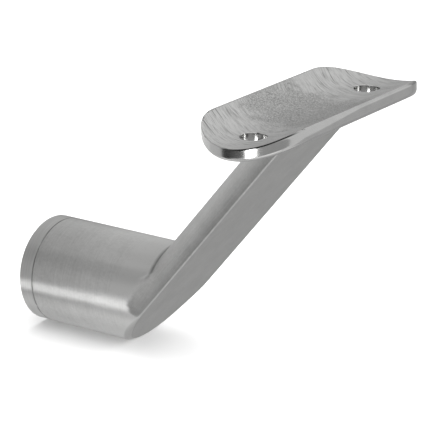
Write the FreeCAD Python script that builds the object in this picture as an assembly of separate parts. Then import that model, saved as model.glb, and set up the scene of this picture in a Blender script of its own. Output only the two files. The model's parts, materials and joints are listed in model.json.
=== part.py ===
import FreeCAD, Part
import math
import os

from FreeCAD import Vector

# Wall bracket for a round handrail, cast and brushed stainless steel.
# The wall is the plane x = 0 and the bracket stands out along +X. The base axis is the X axis,
# the handrail runs along Y and +Z is up. Lengths are in millimetres, angles in degrees.

# Base: a round bar that leaves the wall square
base_d = 24.0
base_reach = 35.7          # wall to the point where the arm's flat front crosses the base axis

# Arm: rises from the end of the base, flat in front and rounded behind
arm_angle = 49.4

# Handrail and the saddle plate under it
rail_d = 42.4
rail_x = 72.0              # handrail axis, distance from the wall
rail_z = 69.5              # handrail axis, height above the base axis
seat_clear = 0.3
plate_t = 2.75
plate_w = 24.0             # across the handrail
plate_l = 60.0             # along the handrail
rail_hole_d = 5.5
rail_hole_pitch = 41.5

# Wall disc with the spigot that carries the body
disc_t = 4.0
spigot_d = 16.0
spigot_l = 10.0
spigot_clear = 0.1         # radial
recess_end_clear = 0.5
wall_hole_d = 6.5
wall_head_d = 12.5         # rim of the 90 degree countersink

# Set screw from below, through the base's wall into a groove round the spigot
grub_d = 5.0
grub_inset = 5.0           # from the seam to the screw's axis
grub_sink = 0.4            # below the base's surface
grub_socket = 2.5          # across flats
grub_socket_depth = 2.0
grub_point_d = 2.6
thread_clear = 0.05        # radial
groove_depth = 0.9
groove_clear = 0.1         # between the screw's point and the groove's floor

# Edges
bend_fillet = 2.0          # inner bend between base and arm
seam_chamfer = 0.2
wall_chamfer = 0.5
front_edge_r = 0.6
plate_edge_r = 0.4
root_fillet = 0.8

base_r = base_d / 2
spigot_r = spigot_d / 2
recess_r = spigot_r + spigot_clear
recess_end = disc_t + spigot_l + recess_end_clear
seat_r = rail_d / 2 + seat_clear
plate_under_r = seat_r + plate_t
grub_r = grub_d / 2
grub_x = disc_t + grub_inset
groove_r = spigot_r - groove_depth
grub_top = base_r - grub_sink
grub_tip = groove_r + groove_clear
beyond = 2 * (base_d + plate_w + plate_l)
past = 1.0                 # how far a cutting tool runs past a surface
near = 0.01                # tolerance when edges are picked by place

X_AXIS = Vector(1, 0, 0)
Y_AXIS = Vector(0, 1, 0)
Z_AXIS = Vector(0, 0, 1)
rail_centre = Vector(rail_x, 0, rail_z)
arm_dir = Vector(math.cos(math.radians(arm_angle)), 0, math.sin(math.radians(arm_angle)))
front_normal = Vector(arm_dir.z, 0, -arm_dir.x)
elbow = Vector(base_reach, 0, 0)
arm_rise = (rail_centre - elbow).dot(arm_dir)
arm_depth = base_r * math.cos(math.radians(arm_angle))


def bar(radius, x0, x1):
    """Round bar on the base axis from x0 to x1."""
    return Part.makeCylinder(radius, x1 - x0, Vector(x0, 0, 0), X_AXIS)


def rail_bar(radius):
    """Round bar on the handrail's axis, longer than the plate."""
    start = rail_centre - Y_AXIS * plate_l
    return Part.makeCylinder(radius, 2 * plate_l, start, Y_AXIS)


def edges_where(shape, test):
    """Edges of a shape whose middle point passes a test."""
    return [edge for edge in shape.Edges
            if test(edge.valueAt((edge.FirstParameter + edge.LastParameter) / 2))]


def in_front():
    """Everything in front of the arm's flat face, to be cut away."""
    side = Part.makePlane(beyond, beyond, Vector(), front_normal)
    middle = side.CenterOfMass
    side.translate(elbow - middle)
    return side.extrude(front_normal * beyond)


def base():
    """Base bar from the seam to the slanting front face."""
    solid = bar(base_r, disc_t, base_reach + base_r)
    solid = solid.makeChamfer(seam_chamfer, edges_where(solid, lambda p: abs(p.x - disc_t) < near))
    return solid.cut(in_front())


def arm():
    """The upper half of the base's section, pushed along the slope past the handrail's axis."""
    left = elbow - Y_AXIS * base_r
    right = elbow + Y_AXIS * base_r
    top = elbow + Z_AXIS * base_r
    back = Part.Arc(left, top, right).toShape()
    front = Part.LineSegment(right, left).toShape()
    return Part.Face(Part.Wire([back, front])).extrude(arm_dir * arm_rise)


def bent_bar():
    """Base and arm with the soft inner bend and the eased edge round the flat front."""
    solid = base().fuse(arm()).removeSplitter()
    solid = solid.makeFillet(bend_fillet, edges_where(solid, in_bend))
    solid = solid.makeFillet(front_edge_r, edges_where(solid, on_front_rim))
    return solid.cut(rail_bar(seat_r + plate_t / 2))


def plate_outline():
    """Plan of the saddle plate: a slot shape with full round ends."""
    r = plate_w / 2
    straight = plate_l / 2 - r
    west, east = rail_x - r, rail_x + r
    a = Vector(west, -straight, 0)
    b = Vector(east, -straight, 0)
    c = Vector(east, straight, 0)
    d = Vector(west, straight, 0)
    first_end = Part.Arc(a, Vector(rail_x, -plate_l / 2, 0), b).toShape()
    second_end = Part.Arc(c, Vector(rail_x, plate_l / 2, 0), d).toShape()
    front_side = Part.LineSegment(b, c).toShape()
    wall_side = Part.LineSegment(d, a).toShape()
    return Part.Wire([first_end, front_side, second_end, wall_side])


def saddle():
    """Plate curved to the handrail, with rounded edges."""
    sheet = rail_bar(plate_under_r).cut(rail_bar(seat_r))
    block = Part.Face(plate_outline()).extrude(Z_AXIS * rail_z)
    solid = sheet.common(block)
    return solid.makeFillet(plate_edge_r, solid.Edges)


def rail_holes():
    """Upright holes for the two screws into the handrail."""
    tools = []
    for side in (-1, 1):
        foot = Vector(rail_x, side * rail_hole_pitch / 2, rail_z - plate_under_r - plate_t)
        tools.append(Part.makeCylinder(rail_hole_d / 2, 3 * plate_t, foot, Z_AXIS))
    return tools


def grub_bar(radius, r0, r1):
    """Round bar on the set screw's axis, between two distances from the base axis."""
    return Part.makeCylinder(radius, r1 - r0, Vector(grub_x, 0, -r0), -Z_AXIS)


def in_bend(point):
    """On the half circle where the base's upper side turns into the arm's back."""
    return abs(point.x - base_reach) < near


def on_front_rim(point):
    """On the rim of the flat front, but not on the arm's far end, which the plate takes in."""
    offset = point - elbow
    return abs(offset.dot(front_normal)) < near and offset.dot(arm_dir) < arm_rise - near


def on_root(point):
    """Where the arm comes out of the plate's underside."""
    from_rail = math.hypot(point.x - rail_x, point.z - rail_z)
    depth = (elbow - point).dot(front_normal)
    return abs(from_rail - plate_under_r) < near and -near < depth < arm_depth + near


def bracket_body():
    """The casting: base, arm and saddle plate in one, bored for the spigot and the screws."""
    solid = bent_bar().fuse(saddle()).removeSplitter()
    solid = solid.makeFillet(root_fillet, edges_where(solid, on_root))
    recess = bar(recess_r, disc_t, recess_end)
    tapped_hole = grub_bar(grub_r + thread_clear, 0, base_r + past)
    return solid.cut([recess, tapped_hole] + rail_holes())


def wall_disc():
    """Disc against the wall, with its spigot, screw groove and countersunk hole."""
    rim = bar(base_r, 0, disc_t)
    rim = rim.makeChamfer(wall_chamfer, edges_where(rim, lambda p: abs(p.x) < near))
    rim = rim.makeChamfer(seam_chamfer, edges_where(rim, lambda p: abs(p.x - disc_t) < near))
    spigot_end = disc_t + spigot_l
    spigot = bar(spigot_r, disc_t / 2, spigot_end)
    spigot = spigot.makeChamfer(wall_chamfer, edges_where(spigot, lambda p: abs(p.x - spigot_end) < near))
    sink = (wall_head_d - wall_hole_d) / 2
    countersink = Part.makeCone(wall_head_d / 2, wall_hole_d / 2, sink, Vector(spigot_end, 0, 0), -X_AXIS)
    groove_x0 = grub_x - grub_point_d / 2 - groove_clear
    groove_x1 = grub_x + grub_point_d / 2 + groove_clear
    ring = bar(spigot_r + past, groove_x0, groove_x1).cut(bar(groove_r, groove_x0, groove_x1))
    solid = rim.fuse(spigot).removeSplitter()
    return solid.cut([bar(wall_hole_d / 2, 0, spigot_end), countersink, ring])


def grub_screw():
    """Hexagon socket set screw with a dog point that stands in the groove."""
    shank = grub_bar(grub_r, grub_tip + groove_depth, grub_top)
    outer = edges_where(shank, lambda p: abs(p.z + grub_top) < near)
    shank = shank.makeChamfer(wall_chamfer, outer)
    point = grub_bar(grub_point_d / 2, grub_tip, grub_tip + groove_depth + wall_chamfer)
    corner_r = grub_socket / math.sqrt(3)
    corners = []
    for k in range(7):
        turn = k * math.pi / 3
        corners.append(Vector(grub_x + corner_r * math.cos(turn), corner_r * math.sin(turn), -grub_top))
    socket = Part.Face(Part.makePolygon(corners)).extrude(Z_AXIS * grub_socket_depth)
    return shank.fuse(point).removeSplitter().cut(socket)


def export(shape, node):
    """Write one node and say how large it is."""
    if len(shape.Solids) == 1:
        shape = shape.Solids[0]
    shape.exportStep("parts/" + node + ".step")
    box = shape.BoundBox
    print(node, "valid", shape.isValid(), "solids", len(shape.Solids), "volume %.1f" % shape.Volume,
          "size %.2f %.2f %.2f" % (box.XLength, box.YLength, box.ZLength))


os.makedirs("parts", exist_ok=True)
export(bracket_body(), "bracket_body")
export(wall_disc(), "wall_disc")
export(grub_screw(), "grub_screw")
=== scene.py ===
# %% [markdown]
# # A handrail bracket in brushed stainless steel
#
# The bracket is a casting. A round base stands out from the wall and turns up into an arm that is
# flat in front and rounded behind, and the arm carries a saddle plate that the handrail lies in.
# A thin turned disc closes the base at the wall. A set screw from below holds the two together.
#
# The construction model comes in as a fixed frame. Every piece made here stands where its solid
# stands, in the same frame: the wall is the plane x = 0, the handrail runs along Y and Z is up.

# %% Load the frame
import json
import math

import bmesh
import bpy
import numpy as np
from mathutils import Matrix, Vector
from mathutils.geometry import delaunay_2d_cdt


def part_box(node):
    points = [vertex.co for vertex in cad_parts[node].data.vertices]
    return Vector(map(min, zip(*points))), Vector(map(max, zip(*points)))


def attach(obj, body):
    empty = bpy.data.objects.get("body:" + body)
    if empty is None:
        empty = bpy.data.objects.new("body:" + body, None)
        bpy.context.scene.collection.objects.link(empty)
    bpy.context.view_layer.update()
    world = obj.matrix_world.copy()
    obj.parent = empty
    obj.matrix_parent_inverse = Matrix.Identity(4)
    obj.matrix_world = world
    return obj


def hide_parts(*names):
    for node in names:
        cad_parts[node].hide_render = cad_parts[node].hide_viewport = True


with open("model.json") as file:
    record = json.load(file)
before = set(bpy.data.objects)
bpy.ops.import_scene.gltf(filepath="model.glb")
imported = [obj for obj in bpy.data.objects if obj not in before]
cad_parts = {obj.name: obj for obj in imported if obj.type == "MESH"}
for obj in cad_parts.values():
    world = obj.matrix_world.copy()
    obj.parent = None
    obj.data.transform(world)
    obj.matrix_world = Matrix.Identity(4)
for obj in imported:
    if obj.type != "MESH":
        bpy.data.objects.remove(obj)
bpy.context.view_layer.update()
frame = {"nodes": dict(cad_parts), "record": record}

mounts = {mount["name"]: mount for mount in frame["record"]["mounts"]}

# %% [markdown]
# ## The sizes
#
# Lengths are worked out in millimetres and angles in radians, because that is how a maker writes
# them down, and they are turned into metres where a mesh is made. What the frame can tell is read
# from it: the screw holes in the saddle and the handrail's place come from the mounts, and the
# base's diameter and the seam's place come from the boxes of the solids. The rest are the
# driving sizes of the casting.

# %% Sizes read from the frame
_, disc_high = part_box("wall_disc")
body_low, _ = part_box("bracket_body")
rail_holes = mounts["rail_holes"]
wall_hole_r = mounts["wall_hole"]["dims"]["r_mm"]
rail_hole_r = rail_holes["dims"]["hole_r_mm"]
rail_hole_pitch = rail_holes["dims"]["spacing_y_mm"]
rail_x = 1000 * rail_holes["pos_m"][0]
base_r = round(1000 * disc_high.z, 1)
seam_x = round(1000 * body_low.x, 1)
print("base radius", base_r, "seam", seam_x, "handrail axis x", rail_x)

# %% Driving sizes of the casting
base_reach = 35.7                   # wall to the point where the flat front crosses the base axis
arm_angle = math.radians(49.4)      # slope of the arm above the horizontal
rail_z = 69.5                       # height of the handrail's axis above the base axis
seat_r = 21.5                       # the saddle's curve, a little wider than a 42.4 mm tube
plate_t = 2.75
plate_r = 12.0                      # the saddle's round ends in plan
plate_straight = 18.0               # half of its straight sides
recess_r = 8.1                      # pocket for the disc's spigot
recess_end = 14.5
tapped_r = 2.55                     # set screw hole
tapped_x = 9.0
under_r = seat_r + plate_t
print("saddle", 2 * (plate_straight + plate_r), "mm long and", plate_t, "mm thick")

# %% Edges and rounds
seam_chamfer = 0.2
ridge_r = 0.4                       # long edges beside the flat front
rim_r = 2.0                         # edge of the flat front round the base's end
rim_flat = 0.8                      # how nearly that edge is a flat bevel
root_r = 0.8                        # where the arm meets the saddle
bend_r_top = 0.5                    # inner bend on top of the base, nearly sharp
bend_r_side = 10.0                  # and where it dies away on the sides
hole_break = 0.15
plate_low_round = 0.9               # lower edge of the saddle
plate_top_break = 0.16              # and its upper edge at the round ends
side_in = 0.62                      # wider on the long sides, where the seat meets them at a slant
front_down = 0.75
wall_down = 0.38
facet_start = -7.0                  # hand-ground facet on the front edge, from the near corner
facet_grow = 4.5                    # soon at its full width,
facet_length = 25.0                 # and from there running out
facet_in = 1.1
facet_down = 2.0
least_side = 0.05                   # height of the upright side that is always left between both
break_profile = [                   # shares of the break's width and depth, from outside in
    (0.0, 1.15), (0.03, 0.95), (0.14, 0.72), (0.36, 0.44), (0.62, 0.22), (0.96, 0.02), (1.0, 0.0)]
print("widest edge breaks, mm:", rim_r, "round the base's end and", facet_down, "on the saddle")

# %% [markdown]
# ## Tools for the meshes
#
# The casting is ruled: almost every line on it is straight, along the base or along the arm.
# So it is drawn as columns of points that run from the wall, round the bend and up to the saddle,
# one for each angle round the base. Neighbouring columns are joined by quads. That gives an even
# mesh that follows the form, which a boolean of cylinders wouldn't.

# %% Vectors of the arm
along = np.array([math.cos(arm_angle), 0.0, math.sin(arm_angle)])      # up the arm
front = np.array([math.sin(arm_angle), 0.0, -math.cos(arm_angle)])     # out of the flat front
rail_axis = np.array([rail_x, 0.0, rail_z])
elbow = np.array([base_reach, 0.0, 0.0])
arm_depth = base_r * math.cos(arm_angle)


def smooth(t):
    """0 to 1 with soft ends."""
    t = np.clip(t, 0.0, 1.0)
    return t * t * (3 - 2 * t)


def unit(v):
    """The same direction, one long."""
    return v / np.linalg.norm(v, axis=-1, keepdims=True)


def rounded(start, corner, end, half_turn, steps):
    """Points of a round that leaves start and reaches end along the sides of a corner."""
    t = np.linspace(0, 1, steps + 1)[:, None]
    pull = 2 * math.cos(half_turn) * t * (1 - t)
    return ((1 - t) ** 2 * start + pull * corner + t ** 2 * end) / ((1 - t) ** 2 + pull + t ** 2)


def from_rail(points):
    """Vectors out from the handrail's axis, square to it."""
    out = points - rail_axis
    out[..., 1] = 0
    return out


# %% The lower end of every column
pocket_rows = [(recess_end, 0.0), (recess_end, recess_r), (seam_x, recess_r), (seam_x, base_r - seam_chamfer)]
base_rows = 14


def base_line(end):
    """From the pocket round the seam edge, then straight along the base to a point on its surface."""
    outward = np.array([0.0, end[1], end[2]]) / math.hypot(end[1], end[2])
    rows = [np.array([x, 0.0, 0.0]) + outward * r for x, r in pocket_rows]
    start = np.array([seam_x + seam_chamfer, 0.0, 0.0]) + outward * base_r
    return np.vstack([rows, start + (end - start) * np.linspace(0, 1, base_rows + 1)[:, None]])


# %% The upper end of every column
arm_rows = 16
root_steps = 6


def climb(start, normal):
    """From a point of the arm straight up to the saddle's underside, with a rounded root."""
    offset = from_rail(start.copy())
    half_way = offset @ along
    reach = -half_way - math.sqrt(half_way ** 2 - offset @ offset + under_r ** 2)
    hit = start + along * reach
    out = unit(from_rail(hit.copy()))
    half_turn = math.acos(normal @ out) / 2
    run = root_r * math.tan(half_turn)
    end = hit + unit(normal - (normal @ out) * out) * run
    end = rail_axis + unit(from_rail(end.copy())) * under_r + np.array([0.0, end[1], 0.0])
    straight = start + along * (reach - run) * np.linspace(0, 1, arm_rows + 1)[:, None]
    return np.vstack([straight, rounded(straight[-1], hit, end, half_turn, root_steps)[1:]])


# %% [markdown]
# ## The round back of base and arm
#
# The arm's back is the upper half of the base's section pushed along the slope, so in section it
# is half an ellipse. Where the two meet there is an inner bend. In the photograph it is a sharp
# dark line on top and dies away softly down the sides, because there both surfaces lean the same
# way and the polishing belt has run over them. Its radius therefore grows from the top to the side.

# %% Upper columns
upper_columns = 120
bend_steps = 8
bend_sharp = math.radians(46)       # turn round the base, from the side, above which the bend is sharp,
bend_wide = math.radians(28)        # and below which it has its full radius
bend_grow = math.radians(8)         # turns over which it starts beside the ridge,
lead_grow = math.radians(20)        # the arm's columns fall in line with the base's,
free_grow = math.radians(5)         # and they come free of the base's own width
ridge_turn = math.asin(ridge_r * math.cos(arm_angle) / base_r)
ridge_back = math.asin(ridge_r / arm_depth)


def back_normal(back):
    """Outward normal of the arm's back at an angle round its half ellipse."""
    side = np.array([0.0, -math.cos(arm_angle) * math.cos(back), 0.0])
    return unit(side - front * math.sin(back))


def bend_radius(side):
    """Radius of the inner bend, from how far round the base a column lies."""
    wide = smooth((bend_sharp - side) / (bend_sharp - bend_wide))
    at_ridge = smooth((side - ridge_turn) / bend_grow)
    return (bend_r_top + (bend_r_side - bend_r_top) * wide) * at_ridge


def upper_column(turn):
    """One line over the back: along the base, round the inner bend and up the arm."""
    side = min(turn, math.pi - turn)
    lead = (ridge_back - ridge_turn) * (1 - smooth((side - ridge_turn) / lead_grow))
    back = turn + math.copysign(lead, math.pi / 2 - turn)
    y, z = -base_r * math.cos(turn), base_r * math.sin(turn)
    free = smooth((side - ridge_turn) / free_grow)
    arm_y, depth = y + (-base_r * math.cos(back) - y) * free, arm_depth * math.sin(back)
    corner_x = base_reach - (depth - z * math.cos(arm_angle)) / math.sin(arm_angle)
    radius = bend_radius(side)
    start = np.array([corner_x - radius * math.tan(arm_angle / 2), y, z])
    a = arm_angle * np.linspace(0, 1, bend_steps + 1)
    bend = start + radius * np.column_stack([np.sin(a), 0 * a, 1 - np.cos(a)])
    bend[:, 1] += (arm_y - y) * np.linspace(0, 1, bend_steps + 1)
    return np.vstack([base_line(start), bend[1:], climb(bend[-1], back_normal(back))[1:]])


upper = [upper_column(turn) for turn in np.linspace(ridge_turn, math.pi - ridge_turn, upper_columns + 1)]
print("upper columns", len(upper), "of", len(upper[0]), "points")

# %% [markdown]
# ## The flat front
#
# Below, the base runs out to a slanting flat face. The edge between them was ground to a narrow
# bevel, widest at the bottom, and the columns then go straight up the flat face to the saddle. The
# two long edges beside the flat are thin rounds, which start at the corner where the bevel ends.

# %% Lower columns
lower_columns = 96
rim_steps = 6
rim_grow = math.radians(42)         # turn over which the bevel reaches its full width


def lower_column(turn):
    """One line under the base, round the edge of the flat front and up its face."""
    y, z = -base_r * math.cos(turn), base_r * math.sin(turn)
    rim = np.array([base_reach + z / math.tan(arm_angle), y, z])
    tangent = unit(np.array([math.cos(turn) / math.tan(arm_angle), math.sin(turn), math.cos(turn)]))
    outward = np.array([0.0, -math.cos(turn), math.sin(turn)])
    side = min(-turn, math.pi + turn)
    half_turn = math.acos(outward @ front) / 2
    lower_down = smooth(side / rim_grow)
    radius = ridge_r + (rim_r - ridge_r) * lower_down
    run = radius * math.tan(half_turn)
    on_base = rim + np.cross(outward, tangent) * run
    on_base[1:] *= base_r / np.linalg.norm(on_base[1:])
    on_front = rim + np.cross(tangent, front) * run
    chord = on_base + (on_front - on_base) * np.linspace(0, 1, rim_steps + 1)[:, None]
    edge = rounded(on_base, rim, on_front, half_turn, rim_steps)
    edge += (chord - edge) * rim_flat * lower_down
    return np.vstack([base_line(on_base), edge[1:], climb(on_front, front)[1:]])


lower = [lower_column(turn) for turn in np.linspace(0, -math.pi, lower_columns + 1)]
first_edge_row = len(pocket_rows) + base_rows


def ridge(lower_side, back):
    """The thin round beside the flat front, from the base's corner up to the saddle."""
    corner = lower_side[first_edge_row:first_edge_row + rim_steps + 1]
    columns = []
    for start, a in zip(corner, np.linspace(0, math.pi / 2, rim_steps + 1)):
        columns.append(climb(start, unit(back_normal(back) * math.cos(a) + front * math.sin(a))))
    return columns


near_ridge = ridge(lower[0], ridge_back)
far_ridge = ridge(lower[-1], math.pi - ridge_back)
print("lower columns", len(lower), "of", len(lower[0]), "points")

# %% [markdown]
# ## The saddle plate
#
# The plate is a slot shape in plan, with two screw holes, curved to the handrail. It is easiest to
# draw flat. Its plan is filled with even triangles between the outline, the holes and the arm's
# foot, and thin strips of faces break and round the edges. The front edge also has a facet near
# one corner, which somebody ground by hand. A Geometry Nodes tree then bends the flat plate to the
# handrail, so one rule places every point, edges and hole walls included.

# %% Outlines in plan
outline_step = 0.7                  # mm between points
hole_points = 72


def arc_points(centre, radius, start, stop):
    """Points round an arc, the last one left out."""
    count = max(8, round(abs(stop - start) * plate_r / outline_step))
    a = np.linspace(start, stop, count, endpoint=False)
    return np.column_stack([centre[0] + radius * np.cos(a), centre[1] + radius * np.sin(a)])


def slot_at(r):
    """The plan of a slot shape with round ends of radius r on the plate's centres."""
    count = round(2 * plate_straight / outline_step)
    y = np.linspace(-plate_straight, plate_straight, count, endpoint=False)
    return np.vstack([arc_points((rail_x, -plate_straight), r, -math.pi, 0),
                      np.column_stack([np.full(count, rail_x + r), y]),
                      arc_points((rail_x, plate_straight), r, 0, math.pi),
                      np.column_stack([np.full(count, rail_x - r), -y])])


plate_edge = slot_at(plate_r)
plate_outward = slot_at(plate_r + 1) - plate_edge


def slot_outline(inset):
    """The plate's plan, moved in from its edge, by one length or by one for each point."""
    return plate_edge - plate_outward * np.reshape(inset, (-1, 1))


def hole_outline(side, widened):
    """One screw hole in plan."""
    a = np.linspace(0, 2 * math.pi, hole_points, endpoint=False)
    r = rail_hole_r + widened
    return np.column_stack([rail_x + r * np.cos(a), side * rail_hole_pitch / 2 + r * np.sin(a)])


print("points round the saddle", len(plate_edge), "and round each hole", hole_points)

# %% Filling a plan with triangles
fill_steps = (0.8, 1.0)             # mm between the points inside, along X and Y
least_gap = 0.6                     # of a step, between them and the outlines
same_point = 1e-5                   # mm


def inside(points, loops):
    """Which points lie inside an odd number of the loops."""
    crossings = np.zeros(len(points), int)
    for loop in loops:
        a, b = loop, np.roll(loop, -1, axis=0)
        x, y = points[:, :1], points[:, 1:]
        spans = (a[:, 1] > y) != (b[:, 1] > y)
        rise = np.where(b[:, 1] == a[:, 1], 1.0, b[:, 1] - a[:, 1])
        crossings += (spans & (x < a[:, 0] + (y - a[:, 1]) * (b[:, 0] - a[:, 0]) / rise)).sum(axis=1)
    return crossings % 2 == 1


def fill(loops):
    """Points and triangles between an outer loop and the loops inside it."""
    step_x, step_y = fill_steps
    low, high = loops[0].min(axis=0), loops[0].max(axis=0)
    xs = np.arange(low[0] + step_x, high[0], step_x)
    ys = np.arange(low[1] + step_y, high[1], step_y)
    grid = np.array([(x, y + step_y / 2 * (i % 2)) for i, x in enumerate(xs) for y in ys])
    border = np.vstack(loops)
    gap = np.linalg.norm(grid[:, None] - border[None], axis=2).min(axis=1)
    grid = grid[inside(grid, loops) & (gap > least_gap * step_x)]
    edges, first = [], 0
    for loop in loops:
        edges += [(first + k, first + (k + 1) % len(loop)) for k in range(len(loop))]
        first += len(loop)
    given = [Vector(p) for p in np.vstack([border, grid])]
    points, _, faces, _, _, _ = delaunay_2d_cdt(given, edges, [], 0, same_point)
    points = np.array([tuple(p) for p in points])
    middles = np.array([points[list(face)].mean(axis=0) for face in faces])
    return points, [face for face, keep in zip(faces, inside(middles, loops)) if keep]


# %% Parts lists of points and faces
merge_within = 2e-6                 # metres
too_short = 5e-7


def new_object(name, data):
    """An object that stands in the scene."""
    thing = bpy.data.objects.new(name, data)
    bpy.context.scene.collection.objects.link(thing)
    return thing


def clean(mesh, name):
    """Merge the doubles of a mesh, turn its faces outward and look for open edges."""
    shell = bmesh.new()
    shell.from_mesh(mesh)
    bmesh.ops.remove_doubles(shell, verts=shell.verts, dist=merge_within)
    bmesh.ops.dissolve_degenerate(shell, edges=shell.edges, dist=too_short)
    bmesh.ops.recalc_face_normals(shell, faces=shell.faces)
    shell.to_mesh(mesh)
    open_edges = sum(1 for edge in shell.edges if not edge.is_manifold)
    shell.free()
    print(name, "faces", len(mesh.polygons), "open edges", open_edges)


class Pieces:
    """Points and faces gathered patch by patch."""

    def __init__(self):
        self.points, self.faces = [], []

    def add(self, points, faces):
        """Add one patch."""
        first = sum(len(p) for p in self.points)
        self.points.append(np.asarray(points, float))
        self.faces += [tuple(first + i for i in face) for face in faces]

    def add_columns(self, columns):
        """Add the quads between neighbouring columns of equal length."""
        rows = len(columns[0])
        faces = [(c * rows + r, c * rows + r + 1, (c + 1) * rows + r + 1, (c + 1) * rows + r)
                 for c in range(len(columns) - 1) for r in range(rows - 1)]
        self.add(np.vstack(columns), faces)

    def add_plan(self, plan, height):
        """Add a filled plan at one height."""
        points, faces = plan
        self.add(np.column_stack([points, np.full(len(points), height)]), faces)

    def add_wall(self, rings):
        """Add the quads between closed rings, given as outlines in plan with their heights."""
        columns = [np.column_stack([plan, np.broadcast_to(height, len(plan))]) for plan, height in rings]
        self.add_columns([np.vstack([column, column[:1]]) for column in columns])

    def mesh(self, name):
        """The patches as one clean mesh in metres."""
        mesh = bpy.data.meshes.new(name)
        mesh.from_pydata(np.vstack(self.points) / 1000, [], self.faces)
        clean(mesh, name)
        return mesh


# %% The plate's edges
low_round_steps = 6
quarter = np.linspace(0, math.pi / 2, low_round_steps + 1)
low_round = [(plate_low_round * (1 - math.sin(a)), plate_low_round * (1 - math.cos(a))) for a in quarter]
past_axis = plate_edge[:, 0] - rail_x
in_front = past_axis > 0
from_corner = plate_edge[:, 1] + plate_straight
round_end = plate_r * np.arctan2(from_corner, past_axis)
ground = np.where(from_corner < 0, round_end, from_corner) - facet_start
facet = smooth(ground / facet_grow) * np.clip(1 - ground / facet_length, 0, 1) * in_front
side_share = (past_axis / plate_r) ** 4
side_down = np.where(in_front, front_down, wall_down)
break_in = plate_top_break + (side_in - plate_top_break) * side_share + (facet_in - side_in) * facet
break_down = plate_top_break + (side_down - plate_top_break) * side_share + (facet_down - side_down) * facet
break_down = np.minimum(break_down, (plate_t - plate_low_round - least_side) / break_profile[0][1])
top_break = [(share_in * break_in, plate_t - share_down * break_down)
             for share_in, share_down in break_profile]
print("top edge broken by", round(break_in.min(), 2), "to", round(break_in.max(), 2), "mm")

# %% The flat plate
foot = np.vstack([[column[-1][:2] for column in columns]
                  for columns in (upper, far_ridge[1:-1], lower[::-1], near_ridge[-2:0:-1])])
plate = Pieces()
under_loops = [slot_outline(plate_low_round), foot]
seat_loops = [slot_outline(break_in)]
for side in (-1, 1):
    wide, narrow = hole_outline(side, hole_break), hole_outline(side, 0.0)
    under_loops.append(wide)
    seat_loops.append(wide)
    plate.add_wall([(wide, 0.0), (narrow, hole_break), (narrow, plate_t - hole_break), (wide, plate_t)])
plate.add_wall([(slot_outline(inset), height) for inset, height in low_round + top_break])
plate.add_plan(fill(under_loops), 0.0)
plate.add_plan(fill(seat_loops), plate_t)
flat_plate = new_object("flat_plate", plate.mesh("flat_plate"))


# %% One function for nodes of every tree
def add_node(tree, kind, inputs=None, **settings):
    """Add a node, set its properties, and give its inputs values or links by name or place.

    A node that is given as a value stands for its first output.
    """
    node = tree.nodes.new(kind)
    for name, value in settings.items():
        setattr(node, name, value)
    for key, value in (inputs or {}).items():
        if isinstance(value, bpy.types.Node):
            value = value.outputs[0]
        value = getattr(value, "socket", value)
        if isinstance(value, bpy.types.NodeSocket):
            tree.links.new(value, node.inputs[key])
        else:
            node.inputs[key].default_value = value
    return node


# %% [markdown]
# ### Sums with wires
#
# A bend, a turned profile and the masks of a finish are all sums. Built node by node they are hard
# to read, so a wire between two nodes gets the signs of arithmetic here. Then x - 3.0 adds a Math
# node to the wire's own tree, and @ is the dot product, as it is for the arrays above.

# %% A wire between nodes
class Wire:
    """A number or a vector on its way from one node to the next."""

    def __init__(self, socket):
        self.socket = socket
        self.tree = socket.id_data

    def __add__(self, other):
        return calculate("ADD", self, other)

    def __radd__(self, other):
        return calculate("ADD", other, self)

    def __sub__(self, other):
        return calculate("SUBTRACT", self, other)

    def __rsub__(self, other):
        return calculate("SUBTRACT", other, self)

    def __mul__(self, other):
        if is_vector(self):
            longer = add_node(self.tree, "ShaderNodeVectorMath", {0: self, "Scale": other}, operation="SCALE")
            return Wire(longer.outputs[0])
        return calculate("MULTIPLY", self, other)

    def __truediv__(self, other):
        return calculate("DIVIDE", self, other)

    def __matmul__(self, other):
        return calculate("DOT_PRODUCT", self, other)

    def __abs__(self):
        return calculate("ABSOLUTE", self)


def is_vector(value):
    """Whether a value is a vector: three numbers, or a wire that carries one."""
    return isinstance(value, tuple) or isinstance(value, Wire) and value.socket.type == "VECTOR"


def tree_of(values):
    """The tree that the wires among some values lie in."""
    return next(value.tree for value in values if isinstance(value, Wire))


def calculate(operation, *values):
    """The result of one sum, which is a sum of vectors where a vector goes in."""
    vectors = any(is_vector(value) for value in values)
    kind = "ShaderNodeVectorMath" if vectors else "ShaderNodeMath"
    node = add_node(tree_of(values), kind, dict(enumerate(values)), operation=operation)
    gives_vector = vectors and operation not in ("DOT_PRODUCT", "LENGTH")
    return Wire(node.outputs["Vector" if gives_vector else "Value"])


def split(vector):
    """The three numbers of a vector."""
    return [Wire(part) for part in add_node(vector.tree, "ShaderNodeSeparateXYZ", {0: vector}).outputs]


def join(*parts):
    """A vector from three numbers, at least one of them a wire."""
    return Wire(add_node(tree_of(parts), "ShaderNodeCombineXYZ", dict(enumerate(parts))).outputs[0])


# %% How every geometry tree starts and ends
def open_tree(name, inputs, output):
    """An empty geometry tree, and the wires of its named inputs."""
    tree = bpy.data.node_groups.new(name, "GeometryNodeTree")
    for label, kind in inputs.items():
        tree.interface.new_socket(label, in_out="INPUT", socket_type="NodeSocket" + kind)
    tree.interface.new_socket(output, in_out="OUTPUT", socket_type="NodeSocketGeometry")
    given = add_node(tree, "NodeGroupInput")
    return tree, {label: Wire(given.outputs[label]) for label in inputs}


def close_tree(tree, shape, finish):
    """End a tree with a real mesh that has its finish on."""
    real = add_node(tree, "GeometryNodeRealizeInstances", {0: shape})
    made = add_node(tree, "GeometryNodeSetMaterial", {0: real, "Material": finish})
    add_node(tree, "NodeGroupOutput", {0: made})


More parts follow.
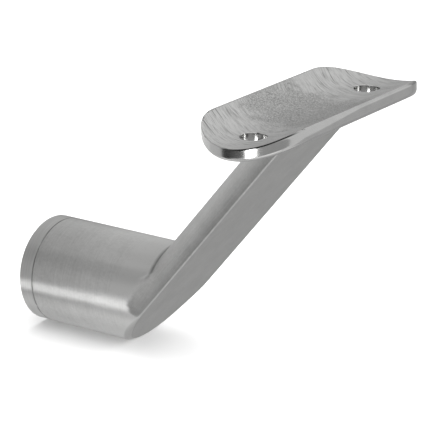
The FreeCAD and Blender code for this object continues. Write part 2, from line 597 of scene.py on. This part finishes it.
def bake(thing, modifier):
    """The mesh that a modifier makes from an object, with the modifier taken off again."""
    bpy.context.view_layer.update()
    seen = thing.evaluated_get(bpy.context.evaluated_depsgraph_get())
    mesh = bpy.data.meshes.new_from_object(seen)
    thing.modifiers.remove(modifier)
    return mesh


def run_tree(thing, tree, values):
    """The mesh that a tree makes from an object."""
    modifier = thing.modifiers.new(tree.name, "NODES")
    modifier.node_group = tree
    for item in tree.interface.items_tree:
        if item.in_out == "INPUT" and item.name in values:
            modifier[item.identifier] = values[item.name]
    return bake(thing, modifier)


# %% [markdown]
# ### Bending the plate
#
# The tree moves each point straight up. A point that lay at height h in the flat plate ends at
# the distance (underside radius - h) from the handrail's axis, so the top lands on the seat's
# curve, the bottom lands on the underside, and holes stay upright.

# %% The bending tree
def bend_tree():
    """A tree that curves a flat plate to a round rail above it."""
    tree, given = open_tree("curve_to_handrail", {
        "Plate": "Geometry", "Rail X": "Float", "Rail Z": "Float", "Underside radius": "Float",
        "Finish": "Material"}, "Curved plate")
    x, y, height = split(Wire(add_node(tree, "GeometryNodeInputPosition").outputs[0]))
    across = x - given["Rail X"]
    radius = given["Underside radius"] - height
    drop = calculate("SQRT", radius * radius - across * across)
    curved = join(x, y, given["Rail Z"] - drop)
    bent = add_node(tree, "GeometryNodeSetPosition", {"Geometry": given["Plate"], "Position": curved})
    close_tree(tree, bent, given["Finish"])
    return tree


steel = bpy.data.materials.new("stainless_cast_brushed")
bent_mesh = run_tree(flat_plate, bend_tree(), {
    "Rail X": rail_x / 1000, "Rail Z": rail_z / 1000, "Underside radius": under_r / 1000, "Finish": steel})
print("bent plate", len(bent_mesh.polygons), "faces, lowest z mm",
      round(1000 * min(v.co.z for v in bent_mesh.vertices), 2))

# %% [markdown]
# ## Joining the casting
#
# The plate's underside was filled round the arm's foot with the foot's own points, so the two
# meshes share that loop and merge into one closed skin. The threaded hole for the set screw is
# then drilled with a boolean, as it would be in the workshop.

# %% One closed skin
casting_parts = Pieces()
for columns in (upper, lower, near_ridge, far_ridge):
    casting_parts.add_columns(columns)
bent_points = np.zeros(3 * len(bent_mesh.vertices), np.float32)
bent_mesh.vertices.foreach_get("co", bent_points)
casting_parts.add(1000.0 * bent_points.reshape(-1, 3), [tuple(p.vertices) for p in bent_mesh.polygons])
casting = new_object("bracket_casting", casting_parts.mesh("bracket_casting"))
bpy.data.objects.remove(flat_plate)

# %% Drill the set screw hole
drill_past = 1.0                    # below the base's surface, and short of its axis
drill_sides = 64


def drill(thing, radius, x, z_low, z_high):
    """Cut an upright round hole."""
    tool_mesh = bpy.data.meshes.new("drill")
    tool = bmesh.new()
    middle = Matrix.Translation((x / 1000, 0, (z_low + z_high) / 2000))
    bmesh.ops.create_cone(tool, cap_ends=True, segments=drill_sides, radius1=radius / 1000,
                          radius2=radius / 1000, depth=(z_high - z_low) / 1000, matrix=middle)
    tool.to_mesh(tool_mesh)
    tool.free()
    cutter = new_object("drill", tool_mesh)
    cut = thing.modifiers.new("hole", "BOOLEAN")
    cut.object = cutter
    cut.operation = "DIFFERENCE"
    cut.solver = "EXACT"
    thing.data = bake(thing, cut)
    bpy.data.objects.remove(cutter)


drill(casting, tapped_r, tapped_x, -base_r - drill_past, -drill_past)
drilled = bmesh.new()
drilled.from_mesh(casting.data)
drilled_cm3 = 1e6 * drilled.calc_volume(signed=True)
drilled.free()
print("casting after drilling", len(casting.data.polygons), "faces,", round(drilled_cm3, 2), "cm3")

# %% [markdown]
# ### Normals
#
# Thin bevels next to wide faces bend the light in the wrong place unless the normals are right.
# Base, arm, flat and saddle are known shapes, so each corner on them gets its exact normal, and
# only the small rounds between them take an average of their faces, weighted by area.

# %% Exact normals
on_surface = 0.002                  # mm
casting_sharp = 0.8                 # faces whose normals have a smaller dot product keep a sharp edge


def known_normals(points):
    """The true normal where a point lies on one of the casting's main surfaces, else no number."""
    depth = -((points - elbow) @ front)
    round_base = points * (0, 1, 1)
    back = points * (0, 1 / base_r ** 2, 0) - front * (depth / arm_depth ** 2)[:, None]
    ellipse = (points[:, 1] / base_r) ** 2 + (depth / arm_depth) ** 2
    out = from_rail(points.copy())
    distance = np.linalg.norm(out, axis=1)
    on_base = abs(np.linalg.norm(round_base, axis=1) - base_r) < on_surface
    on_base &= points[:, 0] < base_reach + base_r
    on_back = (abs(ellipse - 1) < 2 * on_surface) & (depth > ridge_r - on_surface) & ~on_base
    surfaces = [(on_base, round_base), (on_back, back),
                (abs(distance - under_r) < on_surface, out), (abs(distance - seat_r) < on_surface, -out),
                (abs(depth) < on_surface, np.broadcast_to(front, points.shape))]
    normals = np.full(points.shape, np.nan)
    for on_it, normal in surfaces:
        normals[on_it] = unit(normal[on_it])
    return normals


def set_normals(mesh, known, sharp_dot):
    """Give every face corner the known normal, or the mean of the faces that turn softly into it."""
    faces = mesh.polygons
    normal = np.array([tuple(f.normal) for f in faces])
    area = np.array([f.area for f in faces])
    users = [[] for _ in mesh.vertices]
    for face in faces:
        for v in face.vertices:
            users[v].append(face.index)
    corners = []
    for face in faces:
        own = normal[face.index]
        for v in face.vertices:
            if known[v] @ own > sharp_dot:
                corners.append(known[v])
                continue
            soft = [f for f in users[v] if normal[f] @ own > sharp_dot]
            corners.append((normal[soft] * area[soft, None]).sum(axis=0))
    mesh.shade_smooth()
    mesh.normals_split_custom_set(unit(np.array(corners)))


casting_points = 1000 * np.array([tuple(v.co) for v in casting.data.vertices])
casting_known = known_normals(casting_points)
set_normals(casting.data, casting_known, casting_sharp)
exact = int(np.isfinite(casting_known[:, 0]).sum())
print("points on exact surfaces", exact, "of", len(casting_known))

# %% [markdown]
# ## The wall disc
#
# The disc and its spigot were turned on a lathe, so its mesh is turned too: a Geometry Nodes tree
# takes the profile, a line of points given by their place along the axis and their radius, and
# carries it round the X axis on a grid. Only the 4 mm rim is seen beside the casting. The thin
# dark seam comes from the two small chamfers that meet there.

# %% Profile of the disc
disc_t = seam_x
spigot_r = 8.0
spigot_end = 14.0
sink_r = 6.25                       # rim of the countersink for the wall screw
sink_start = spigot_end - (sink_r - wall_hole_r)
groove_r = 7.1                      # floor of the groove that the set screw stands in
groove_half = 1.4
wall_chamfer = 0.5
disc_steps = 192                    # round the axis
disc_sharp = 0.95
disc_profile = [
    (0.0, wall_hole_r), (0.0, base_r - wall_chamfer), (wall_chamfer, base_r),
    (disc_t - seam_chamfer, base_r), (disc_t, base_r - seam_chamfer), (disc_t, spigot_r),
    (tapped_x - groove_half, spigot_r), (tapped_x - groove_half, groove_r),
    (tapped_x + groove_half, groove_r), (tapped_x + groove_half, spigot_r),
    (spigot_end - wall_chamfer, spigot_r), (spigot_end, spigot_r - wall_chamfer),
    (spigot_end, sink_r), (sink_start, wall_hole_r)]
print("disc", disc_t, "mm thick, its profile has", len(disc_profile), "points")


# %% The lathe tree
def lathe_tree():
    """A tree that turns a profile, drawn above the X axis, round that axis."""
    tree, given = open_tree("turned_on_a_lathe", {
        "Profile": "Geometry", "Points": "Int", "Steps round": "Int", "Finish": "Material"}, "Turned")
    seams = given["Steps round"] + 1.0
    grid = add_node(tree, "GeometryNodeMeshGrid", {"Vertices X": given["Points"] + 1.0, "Vertices Y": seams})
    index = Wire(add_node(tree, "GeometryNodeInputIndex").outputs[0])
    ring = calculate("FLOOR", (index + 0.5) / seams)
    sample = add_node(tree, "GeometryNodeSampleIndex", data_type="FLOAT_VECTOR", domain="POINT", inputs={
        "Geometry": given["Profile"], "Value": add_node(tree, "GeometryNodeInputPosition"),
        "Index": calculate("MODULO", ring, given["Points"])})
    x, _, radius = split(Wire(sample.outputs[0]))
    turn = (index - ring * seams) / given["Steps round"] * (2 * math.pi)
    placed = join(x, radius * calculate("COSINE", turn), radius * calculate("SINE", turn))
    moved = add_node(tree, "GeometryNodeSetPosition", {"Geometry": grid, "Position": placed})
    closed = add_node(tree, "GeometryNodeMergeByDistance", {"Geometry": moved, "Distance": merge_within})
    close_tree(tree, closed, given["Finish"])
    return tree


def turned(name, profile, steps, finish):
    """A piece turned from its profile, with clean normals."""
    line = bpy.data.meshes.new(name + "_profile")
    line.from_pydata([(x / 1000, 0, r / 1000) for x, r in profile], [], [])
    thing = new_object(name, line)
    mesh = run_tree(thing, lathe_tree(), {"Points": len(profile), "Steps round": steps, "Finish": finish})
    clean(mesh, name)
    set_normals(mesh, np.full((len(mesh.vertices), 3), np.nan), disc_sharp)
    thing.data = mesh
    return thing


disc_steel = bpy.data.materials.new("stainless_turned_brushed")
disc = turned("wall_disc_turned", disc_profile, disc_steps, disc_steel)

# %% [markdown]
# ## Materials
#
# All of it is austenitic stainless steel, which is a neutral, slightly dull metal. What the eye
# reads is the finish. The base and the disc were brushed round their axis, so a highlight is
# drawn out along the axis and stays narrow round it. The arm's back was belt-ground lengthwise,
# the flat front was ground fine and even, and the seat was ground across with a coarse wheel that
# left curved scratches round a rubbed middle. Brushing is drawn two ways: the shader's own
# anisotropy spreads the reflections, and stretched noise gives the strokes their tone and relief.

# %% Colours
def linear(hex_colour):
    """A colour written as in a paint chart, turned to the linear values that the renderer uses."""
    channels = [int(hex_colour[i:i + 2], 16) / 255 for i in (1, 3, 5)]
    return tuple(c / 12.92 if c <= 0.04045 else ((c + 0.055) / 1.055) ** 2.4 for c in channels) + (1.0,)


steel_light = linear("#CFCFCE")
steel_dark = linear("#8E8E8D")
dark_joint_and_crease_shade = linear("#4E4E4D")     # dark joint in the seam, and painted shade in the crease on top of the bend
# painted shade of the burr and nicks on the seat's near top edge
burr_painted_shade = linear("#303030")
screw_light = linear("#A8A8A6")
screw_dark = linear("#8C8C8A")
print("steel reflects", round(steel_dark[0], 3), "to", round(steel_light[0], 3), "of the light")


# %% Words for masks and patterns
def fade(value, low, high, to_low=0.0, to_high=1.0):
    """A soft step from one value to another."""
    node = add_node(value.tree, "ShaderNodeMapRange", interpolation_type="SMOOTHSTEP", inputs={
        "Value": value, "From Min": low, "From Max": high, "To Min": to_low, "To Max": to_high})
    return Wire(node.outputs["Result"])


def blend(share, a, b):
    """Between a and b by a mask. They are numbers, vectors or colours."""
    rank, kind = (2, "RGBA") if isinstance(b, tuple) else (1, "VECTOR") if is_vector(b) else (0, "FLOAT")
    node = add_node(share.tree, "ShaderNodeMix", {0: share, 2 + 2 * rank: a, 3 + 2 * rank: b}, data_type=kind)
    return Wire(node.outputs[rank])


def grain(place, size, detail=2.0, rough=0.6):
    """Noise from -0.5 to 0.5, with cells of a real size in mm: one size, or one for each axis."""
    sizes = size if isinstance(size, tuple) else (size, size, size)
    node = add_node(place.tree, "ShaderNodeTexNoise", {
        "Vector": calculate("DIVIDE", place, sizes), "Scale": 1.0, "Detail": detail, "Roughness": rough})
    return Wire(node.outputs[0]) - 0.5


def long_side(a, b):
    """How long the long side of a right triangle is."""
    return calculate("SQRT", a * a + b * b)


def place_in_mm(tree):
    """Where a point of the surface lies in the object's frame, in millimetres."""
    return Wire(add_node(tree, "ShaderNodeTexCoord").outputs["Object"]) * 1000


def metal(colour, rough, drawn_out, spread, tone):
    """Bare steel: reflections drawn out along one direction, and a relief from the strokes' tone."""
    relief = add_node(tone.tree, "ShaderNodeBump", {
        "Strength": relief_strength, "Distance": stroke_depth / 1000, "Height": tone})
    return add_node(tone.tree, "ShaderNodeBsdfPrincipled", {
        "Base Color": colour, "Metallic": 1.0, "Roughness": rough, "Anisotropic": drawn_out,
        "Tangent": spread, "Normal": relief})


def start_material(material):
    """An empty node tree for a material."""
    material.use_nodes = True
    material.node_tree.nodes.clear()
    return material.node_tree


# %% [markdown]
# ### The cast body's finish
#
# One material covers the casting and tells its zones apart by place: the seat by its distance from
# the handrail's axis, the flat front by the way it faces, the arm by where the belt's lengthwise
# strokes end on the side of the base. Real brushing is finer than a pixel of the render, so the
# strokes are drawn as wide as they need to be to show. Part of the colour is painted light: shade
# in the sharp crease on top of the bend, shade and light across the arm, a highlight on the bevel
# round the base's end, and the shade of a burr on the seat's near edge. The seam is a dark joint.

# %% Sizes of the strokes and zones
stroke = 0.22                       # mm across one drawn stroke; the real ones are under 0.1
stroke_length = 10.0
stroke_depth = 0.02
relief_strength = 0.35
seat_stroke = 0.25                  # the wheel's scratches on the seat
seat_stroke_length = 3.2
seat_band = 1.7                     # the broader bands they lie in,
seat_band_length = 14.0
scratch = 0.45                      # and single deep ones
scratch_length = 6.0
drift_size = 14.286                 # they drift sideways, to and fro
drift_width = 5.0
worn_place = (73.8, -1.5)           # rubbed patch in the middle of the seat
worn_size = (17.5, 14.0)
rubbed_grain = 0.3125
mean_radius = 9.0                   # of the arm's section, which is half an ellipse
belt_end_x = 31.6                   # where the belt's strokes end on the side of the base
belt_top_z = 1.8                    # between these heights they end in an upright line,
belt_low_z = -0.7                   # and beyond them later
belt_lean_up = 0.62
belt_lean_down = 3.0
wander_size = (5.0, 5.0, 0.833)     # that line isn't quite straight
wander_width = 1.6
brush_twist = 0.12                  # how far the strokes round the base lean by its far end
swing_start = 0.60                  # slope of the wheel's scratches beside the wall,
swing_less = 0.022                  # and half of what it loses with every mm from there
print("strokes of the belt", stroke, "by", stroke_length, "mm")
print("strokes of the wheel", seat_stroke, "by", seat_stroke_length, "mm")

# %% How light, how streaky and how smooth each zone is
light_base = (0.62, 1.02)           # at the wall and at the bend; 0 is the dark steel and 1 the light
# On the arm these tones paint its shading: darker beside the flat and below the saddle, lighter over the
# round back and higher up.
painted_shade_beside_flat = (0.52, 0.30)    # painted shade beside the flat: low on the arm, and below the saddle
painted_light_on_back = (0.45, 0.76)
light_flat = 0.38
light_seat = 0.75
light_plate_side = 0.57
bevel_painted_highlight = 0.6                   # painted highlight, added on the bevel round the base's end
seam_dark = 0.45                    # in the seam's small chamfers
# painted shade in the crease on top of the bend
crease_painted_shade = 0.55
streaks = 0.36
streaks_flat = 0.2
streaks_plate_side = 0.04
speckle_size = 0.588                # fine grain between the strokes
speckles = 0.9
cloud_size = 4.762                  # uneven pressure of the belt
clouds = 0.38
rough_base = 0.5
rough_arm = 0.38
rough_seat = 0.36
rough_plate_side = 0.18
streaks_smooth = 0.08               # how much smoother the light streaks are
drawn_out_flat = 0.6                # of the full anisotropy
drawn_out_seat = 0.75
print("roughness from", rough_plate_side, "to", rough_base)


# %% Zones of the casting
def steel_zones(tree):
    """Masks of the casting's zones, and the places they are worked out from."""
    place = place_in_mm(tree)
    normal = Wire(add_node(tree, "ShaderNodeNewGeometry").outputs["Normal"])
    x, y, z = split(place)
    # the saddle plate, the seat on it, and what of it stands upright
    across, over = x - rail_x, z - rail_z
    distance = long_side(across, over)
    plate = fade(distance, under_r + 0.6, under_r - 0.1)
    seat = fade(distance, seat_r + 0.12, seat_r + 0.02)
    edgewise = fade(abs(normal @ calculate("NORMALIZE", join(across, 0.0, over))), 0.97, 0.88)
    # the flat front, and the bevel between it and the base
    faces_front = normal @ tuple(front)
    depth = (place - tuple(elbow)) @ tuple(-front)
    flat = fade(faces_front, 0.9, 0.99) * (1.0 - plate)
    bevel = fade(faces_front, 0.05, 0.3) * fade(faces_front, 0.97, 0.85) * fade(depth, 1.1, 0.6)
    # the line where the belt's strokes end
    wander = grain(place, wander_size) * wander_width
    above = calculate("MAXIMUM", z - belt_top_z, 0.0) * belt_lean_up
    below = calculate("MAXIMUM", belt_low_z - z, 0.0) * belt_lean_down
    belt_x = calculate("MINIMUM", above + below + belt_end_x, base_reach - 0.1)
    # the crease, which is on the base's surface and on the arm's back at once, where shade is painted
    off_base = abs(long_side(y, z) - base_r)
    off_arm = abs(long_side(y / base_r, depth / arm_depth) - 1.0) * mean_radius
    off_both = (off_base + off_arm) * fade(z, 8.0, 11.5, 1.0, 0.6)
    return {"place": place, "normal": normal, "x": x, "y": y, "distance": distance,
            "depth": depth, "up": place @ tuple(along),
            "seat": seat, "plate_side": plate * edgewise * (1.0 - seat), "flat": flat,
            "arm": calculate("MAXIMUM", fade(x + wander - belt_x, -0.9, 0.7), flat),
            "crease": fade(off_both, 0.60, 0.10) * fade(z, 6.0, 9.0), "bevel": bevel * (1.0 - plate)}


# %% The seat's scratches and the burr's painted shade
def ground_seat(zone):
    """Tone of the seat's curved scratches, and the direction across them."""
    past_edge = zone["x"] - (rail_x - plate_r)
    swing = past_edge * (swing_start - past_edge * swing_less)
    drift = grain(zone["place"], drift_size, 1.0) * drift_width + drift_width / 2
    across = zone["y"] + swing + drift
    swept = join(zone["x"], across, 0.0)
    fine = grain(swept, (seat_stroke_length, seat_stroke, 1.0), 3.0, 0.75)
    broad = grain(swept, (seat_band_length, seat_band, 1.0))
    deep = grain(join(zone["x"], across, 7.0), (scratch_length, scratch, 1.0), 1.0, 0.5)
    drawn = fine * 3.2 + broad * 0.8 - fade(deep, 0.10, 0.20) * 0.75 + 0.12
    from_worn = [(zone[axis] - middle) / size for axis, middle, size in zip("xy", worn_place, worn_size)]
    worn = fade(long_side(*from_worn) + grain(zone["place"], 2.857, 3.0) * 1.2, 1.15, 0.65)
    rubbed = grain(zone["place"], rubbed_grain, 2.0, 0.7) * 3.2 - 0.35
    spread = calculate("NORMALIZE", join(swing_start - past_edge * (2 * swing_less), 1.0, 0.0))
    return blend(worn, drawn, rubbed), spread


def burr(zone):
    """Mask of the painted shade that stands for the burr and nicks that the grinding left on the top edge of
    the near end.
    """
    out = zone["distance"] - seat_r
    band = fade(out, 0.0, 0.04) * fade(out, 0.40, 0.24)
    near_end = fade(zone["y"], -20.0, -23.5) * fade(zone["x"], 69.0, 76.0)
    nicks = fade(grain(zone["place"], 1.25), 0.10, 0.16) * fade(zone["y"], -16.0, -19.0)
    return band * calculate("MAXIMUM", near_end, nicks)


# %% The casting's shader
def evenness(zone):
    """How light the steel is without its strokes, with painted shade and light across the arm and a painted
    highlight on the bevel.
    """
    base = fade(zone["x"], 0.0, 34.0, *light_base)
    # painted shading across the arm: shade beside the flat, light over the round back
    beside_flat = fade(zone["up"], 22.0, 60.0, *painted_shade_beside_flat)
    back = fade(zone["up"], 22.0, 60.0, *painted_light_on_back)
    arm = blend(fade(zone["depth"], 0.5, 5.5), beside_flat, back)
    # the bevel round the base's end gets a painted highlight
    even = blend(zone["flat"], blend(zone["arm"], base, arm), light_flat) + zone["bevel"] * bevel_painted_highlight
    return blend(zone["plate_side"], blend(zone["seat"], even, light_seat), light_plate_side)


def brushed(tree):
    """The finish of the whole casting."""
    zone = steel_zones(tree)
    place, seat, side = zone["place"], zone["seat"], zone["plate_side"]
    round_strokes = grain(place, (stroke, stroke_length, stroke_length))
    belt_strokes = grain(join(zone["up"], zone["y"], zone["depth"]), (stroke_length, stroke, stroke))
    strokes = blend(zone["arm"], round_strokes, belt_strokes) + grain(place, speckle_size) * speckles
    strong = blend(side, blend(zone["flat"], streaks, streaks_flat), streaks_plate_side)
    seat_tone, seat_spread = ground_seat(zone)
    tone = blend(seat, strokes * strong, seat_tone)
    light = evenness(zone) + tone + grain(place, cloud_size, 3.0) * clouds
    # painted shade of the burr and nicks on the seat's top edge
    colour = blend(burr(zone), blend(light, steel_dark, steel_light), burr_painted_shade)
    # painted shade in the crease, and the seam darkened as a dark joint
    seam = fade(zone["x"], seam_x + 0.22, seam_x + 0.14) * seam_dark
    colour = blend(calculate("MAXIMUM", zone["crease"] * crease_painted_shade, seam), colour, dark_joint_and_crease_shade)
    finer = tone * streaks_smooth
    twist = fade(zone["x"], 2.0, 30.0, 0.0, brush_twist)
    leaning = (1, 0, 0) + calculate("CROSS_PRODUCT", (1, 0, 0), zone["normal"]) * twist
    turned_round = metal(colour, rough_base - finer, 1.0, calculate("NORMALIZE", leaning), tone)
    belt_spread = calculate("CROSS_PRODUCT", zone["normal"], tuple(along))
    rough = blend(side, blend(seat, rough_arm, rough_seat), rough_plate_side)
    drawn_out = blend(side, blend(seat, blend(zone["flat"], 1.0, drawn_out_flat), drawn_out_seat), 0.0)
    lengthwise = metal(colour, rough - finer, drawn_out, blend(seat, belt_spread, seat_spread), tone)
    surface = add_node(tree, "ShaderNodeMixShader", {0: zone["arm"], 1: turned_round, 2: lengthwise})
    add_node(tree, "ShaderNodeOutputMaterial", {0: surface})


brushed(start_material(steel))
print("casting's finish", len(steel.node_tree.nodes), "nodes")

# %% [markdown]
# ### The disc's finish and the set screw's
#
# The disc was turned and then brushed round with the base, so its rim has the same strokes and its
# faces have rings. The set screw is a bought part in plain turned stainless, a little darker, and
# is made the same way round its own axis.

# %% Turned disc and machined screw
def round_brushed(tree, light, dark, rough, centre, axis):
    """Steel brushed round an axis: along the rims, and in rings on the faces square to the axis."""
    offset = place_in_mm(tree) - centre
    run = offset @ axis
    spoke = offset - run * axis
    ring = (run + calculate("LENGTH", spoke)) / stroke
    tone = grain(ring * axis + spoke * (1 / stroke_length), 1.0)
    colour = blend(tone * 0.5 + 0.68, dark, light)
    seam = fade(run, seam_x - 0.22, seam_x - 0.14) * seam_dark
    colour = blend(seam, colour, dark_joint_and_crease_shade)
    across = calculate("NORMALIZE", calculate("NORMALIZE", spoke) + axis)
    add_node(tree, "ShaderNodeOutputMaterial", {0: metal(colour, rough - tone * 0.06, 1.0, across, tone)})


rough_screw = 0.35
screw_steel = bpy.data.materials.new("stainless_machined_screw")
round_brushed(start_material(disc_steel), steel_light, steel_dark, rough_base, (0, 0, 0), (1, 0, 0))
round_brushed(start_material(screw_steel), screw_light, screw_dark, rough_screw, (tapped_x, 0, 0), (0, 0, 1))

# %% Put the finishes on
screw = frame["nodes"]["grub_screw"]
for thing, finish in ((casting, steel), (screw, screw_steel)):
    thing.data.materials.clear()
    thing.data.materials.append(finish)
print("finishes:", steel.name, disc_steel.name, screw_steel.name)

# %% [markdown]
# ## Standing the pieces in the frame
#
# The bracket has no moving parts, so the frame has one body and every piece rides on it. The new
# meshes take the places of two solids. The screw keeps its solid, which already has its chamfers,
# its point and its hexagon socket.

# %% Ride and replace
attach(casting, "root")
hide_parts("bracket_body")
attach(disc, "root")
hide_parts("wall_disc")
print("new pieces:", casting.name, "and", disc.name)

# %% [markdown]
# ## Floor, light and camera
#
# The photograph is a product shot on white: soft light from all round, a white table that keeps a
# faint shadow under the base, and a long lens from the front left. The floor is a plain white
# disc. The metal shows what surrounds it, so the surroundings are painted in the sky's own shader:
# a white room, and in it the lit table, grey panels, a black flag and a small bright lamp, each
# placed by the way a ray looks. Only the camera sees plain white instead.

# %% Floor
floor_radius = 3.0                  # metres
floor_gap = 0.05                    # mm below the base
floor_mesh = bpy.data.meshes.new("floor")
plane = bmesh.new()
bmesh.ops.create_circle(plane, cap_ends=True, segments=96, radius=floor_radius,
                        matrix=Matrix.Translation((0, 0, -(base_r + floor_gap) / 1000)))
plane.to_mesh(floor_mesh)
plane.free()
floor = new_object("floor", floor_mesh)
floor.visible_glossy = False
floor.visible_shadow = False
paper = bpy.data.materials.new("white_paper")
paper_tree = start_material(paper)
either = add_node(paper_tree, "ShaderNodeMixShader", {
    0: add_node(paper_tree, "ShaderNodeNewGeometry").outputs["Backfacing"],
    1: add_node(paper_tree, "ShaderNodeBsdfDiffuse", {"Color": linear("#F4F4F4")}),
    2: add_node(paper_tree, "ShaderNodeBsdfTransparent")})
add_node(paper_tree, "ShaderNodeOutputMaterial", {0: either})
floor_mesh.materials.append(paper)
print("floor", floor_gap, "mm below the base, radius", floor_radius, "m")

# %% What stands in the room
room = 1.2                          # brightness of the white walls
panels = [
    # from turn, to turn, from rise, to rise, half the soft edge, brightness
    (-190, 190, -99, -62, 4.0, 1.05),       # the table below
    (-190, -98, -62, -38, 4.0, 1.85),       # lit table, right
    (-98, -62, -62, -38, 4.0, 0.85),        # lit table, middle
    (-62, -8, -62, -38, 4.0, 1.40),         # lit table, left
    (-190, -113, -38, -8, 3.0, 0.60),       # low, right of the lamp
    (-96, -42, -38, -8, 2.5, 0.06),         # black flag, left of the lamp
    (-42, -8, -38, -8, 2.5, 1.00),          # low, towards the wall
    (40, 110, -75, -8, 4.0, 0.65),          # low, on the far side
    (110, 150, -48, -8, 4.0, 0.80),         # low, far right
    (-190, -50, -8, 20, 4.0, 0.90),         # level, on the near side
    (-50, 20, -8, 20, 4.0, 1.20),           # level, towards the wall
    (20, 110, -8, 14, 4.0, 0.42),           # level, on the far side
    (20, 110, 14, 30, 4.0, 0.65),           # and a little higher
    (-110, 20, 20, 52, 4.0, 0.57),          # above, on the near side
    (-96, -62, -32, -24, 2.5, 2.2),         # edge of the lit table
    (-112, -97, -30, -14, 2.5, 17.5),       # the lamp, a small softbox
]


def panel(turn, rise, edges, soft):
    """1 inside a panel and 0 outside, with a soft edge."""
    share = 1.0
    for value, low, high in ((turn, edges[0], edges[1]), (rise, edges[2], edges[3])):
        share = fade(value, low - soft, low + soft) * share
        share = fade(value, high + soft, high - soft) * share
    return share


# %% Surroundings
world = bpy.data.worlds.new("studio")
bpy.context.scene.world = world
world.use_nodes = True
studio = world.node_tree
studio.nodes.clear()
look_x, look_y, look_z = split(Wire(add_node(studio, "ShaderNodeTexCoord").outputs["Generated"]))
look_turn = calculate("DEGREES", calculate("ARCTAN2", look_y, look_x * -1.0))   # from the wall to +Y
look_rise = calculate("DEGREES", calculate("ARCSINE", look_z))                  # above the horizon
brightness = room
for *edges, soft, own_brightness in panels:
    brightness = blend(panel(look_turn, look_rise, edges, soft), brightness, own_brightness)
camera_ray = Wire(add_node(studio, "ShaderNodeLightPath").outputs["Is Camera Ray"])
around = add_node(studio, "ShaderNodeBackground", {"Strength": blend(camera_ray, brightness, 1.0)})
add_node(studio, "ShaderNodeOutputWorld", {0: around})
print("panels in the room", len(panels))

# %% Key light for the shadow
key_from = Vector((1.0, 0.2, 1.0))
key_strength = 4.4
key_width = 130                     # degrees, so that the shadow stays faint and soft
key_data = bpy.data.lights.new("key", "SUN")
key_data.energy = key_strength
key_data.angle = math.radians(key_width)
key = new_object("key", key_data)
key.rotation_euler = key_from.to_track_quat("Z", "Y").to_euler()
key.visible_glossy = False
print("key light", key_width, "degrees wide")

# %% Camera
camera_place = Vector((317.22, -364.58, 176.18)) / 1000
camera_aim = Vector((47.14, 2.23, 18.60)) / 1000
camera_roll = math.radians(-1.18)
camera_data = bpy.data.cameras.new("photo_view")
camera_data.lens = 180.24
camera_data.sensor_width = 36.0
camera_data.clip_start = 0.01
camera_data.clip_end = 20.0
camera = new_object("photo_view", camera_data)
aim_turn = (camera_aim - camera_place).to_track_quat("-Z", "Y").to_matrix()
camera.matrix_world = (Matrix.Translation(camera_place)
                       @ (aim_turn @ Matrix.Rotation(camera_roll, 3, "Z")).to_4x4())
bpy.context.scene.camera = camera
bpy.context.scene.view_settings.view_transform = "Standard"
print("camera right", [round(v, 4) for v in camera.matrix_world.col[0][:3]])
